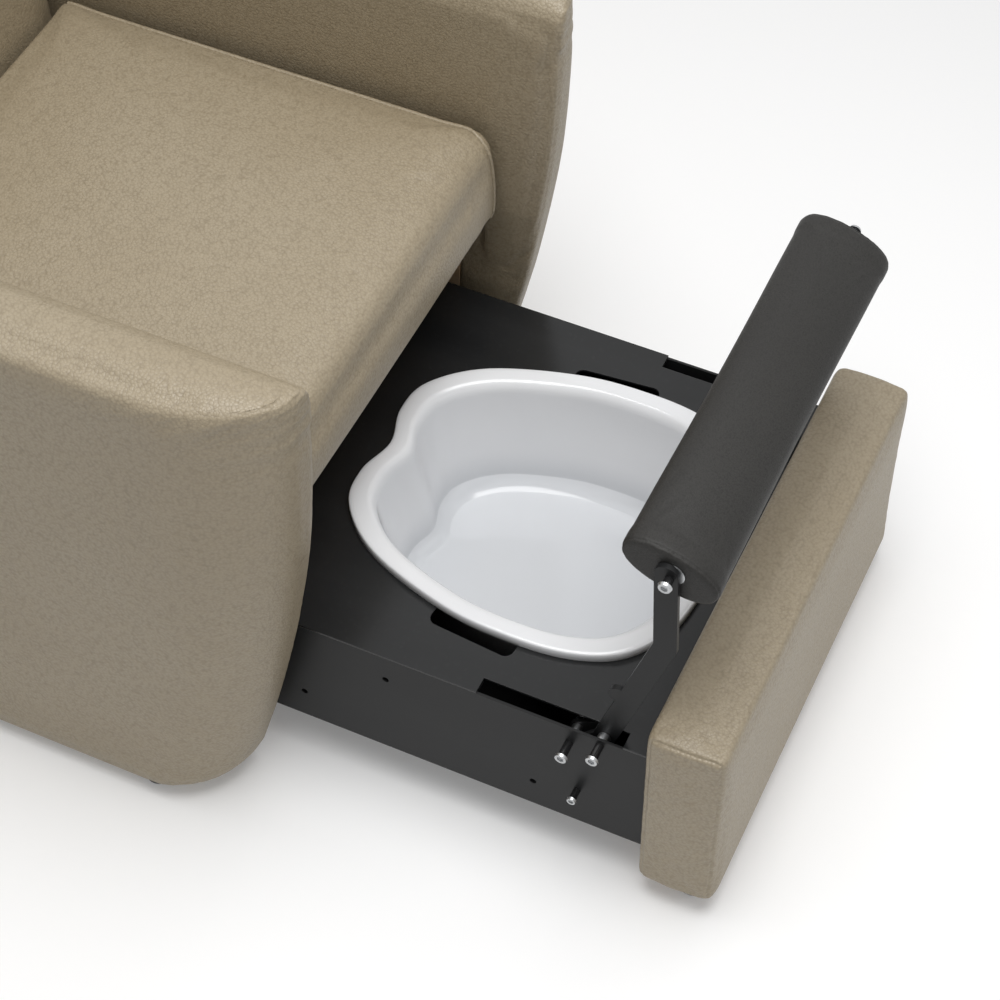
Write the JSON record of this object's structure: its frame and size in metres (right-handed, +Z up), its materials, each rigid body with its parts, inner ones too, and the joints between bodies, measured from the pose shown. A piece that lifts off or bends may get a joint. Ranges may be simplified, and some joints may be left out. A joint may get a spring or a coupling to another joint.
{
  "type": "pedicure bench",
  "caption": "Upholstered single-seat pedicure bench with a foot-bath drawer that slides out from under the seat, a lift-out basin and a fold-down leg bolster.",
  "frame": {"origin": "on the floor, under the centre of the whole object's bounding box, with the drawer pulled out", "axes": "+Z up, -Y the way the sitter faces, +X the sitter's left"},
  "size_m": [0.796, 1.24, 0.86],
  "materials": {
    "beige_leather": "fine pebbled grain, satin",
    "dark_leatherette": "fine grain, matt",
    "charcoal_steel": "satin black coat",
    "white_plastic": "gloss",
    "zinc": "bright zinc",
    "black_plastic": "matt",
    "ply": "plain birch plywood",
    "timber": "planed softwood"
  },
  "bodies": {
    "bench": {"arm_frame_left": "ply", "arm_frame_right": "ply", "arm_pad_left": "beige_leather", "arm_pad_right": "beige_leather", "feet": "black_plastic", "seat_cleats": "timber", "seat_deck": "ply", "seat_cushion": "beige_leather", "back_board": "ply", "back_cushion": "beige_leather", "rear_cover": "beige_leather", "rear_rail": "timber", "runner_bearers": "timber", "runner_outer_left": "zinc", "runner_outer_right": "zinc"},
    "mid_runner_left": {"runner_middle_left": "zinc"},
    "mid_runner_right": {"runner_middle_right": "zinc"},
    "drawer": {"runner_inner_left": "zinc", "runner_inner_right": "zinc", "drawer_top_plate": "charcoal_steel", "drawer_side_left": "charcoal_steel", "drawer_side_right": "charcoal_steel", "drawer_back_plate": "charcoal_steel", "drawer_bottom_plate": "charcoal_steel", "drawer_front_plate": "charcoal_steel", "panel_core": "timber", "panel_pad": "beige_leather", "panel_screws": "zinc", "basin": "white_plastic", "pivot_bracket_left": "charcoal_steel", "pivot_bracket_right": "charcoal_steel", "pivot_bolts": "zinc", "stop_bolts": "zinc", "bracket_bolts": "zinc", "head_sleeves": "black_plastic", "spacer_tubes": "zinc", "roller_forks": "zinc", "roller_axles": "zinc"},
    "front_roller_left": {"roller_left": "black_plastic"},
    "front_roller_right": {"roller_right": "black_plastic"},
    "footrest": {"bolster_arm_left": "charcoal_steel", "bolster_arm_right": "charcoal_steel", "bolster_bolts": "zinc", "bolster_sleeves": "black_plastic", "bolster_washers": "zinc"},
    "bolster": {"bolster_pad": "dark_leatherette", "bolster_core": "timber", "bolster_end_discs": "ply", "bolster_bushes": "black_plastic"}
  },
  "joints": [
    {"name": "drawer_slide", "type": "slide", "parent": "bench", "child": "drawer", "axis": [0, 1, 0], "range_m": [0, 0.355]},
    {"name": "mid_slide_left", "type": "slide", "parent": "bench", "child": "mid_runner_left", "axis": [0, 1, 0], "range_m": [0, 0.1775]},
    {"name": "mid_slide_right", "type": "slide", "parent": "bench", "child": "mid_runner_right", "axis": [0, 1, 0], "range_m": [0, 0.1775]},
    {"name": "bolster_fold", "type": "hinge", "parent": "drawer", "child": "footrest", "pos_m": [0, -0.474, 0.228], "axis": [-1, 0, 0], "range_deg": [0, 85.5]},
    {"name": "bolster_spin", "type": "hinge", "parent": "footrest", "child": "bolster", "pos_m": [0, -0.5323, 0.5305], "axis": [1, 0, 0], "continuous": true},
    {"name": "roller_spin_left", "type": "hinge", "parent": "drawer", "child": "front_roller_left", "pos_m": [0.256, -0.585, 0.012], "axis": [-1, 0, 0], "continuous": true},
    {"name": "roller_spin_right", "type": "hinge", "parent": "drawer", "child": "front_roller_right", "pos_m": [-0.256, -0.585, 0.012], "axis": [-1, 0, 0], "continuous": true}
  ],
  "couplings": [
    {"joint": "mid_slide_left", "follows": "drawer_slide", "ratio": 0.5},
    {"joint": "mid_slide_right", "follows": "drawer_slide", "ratio": 0.5},
    {"joint": "roller_spin_left", "follows": "drawer_slide", "rad_per_m": 83.333},
    {"joint": "roller_spin_right", "follows": "drawer_slide", "rad_per_m": 83.333}
  ]
}
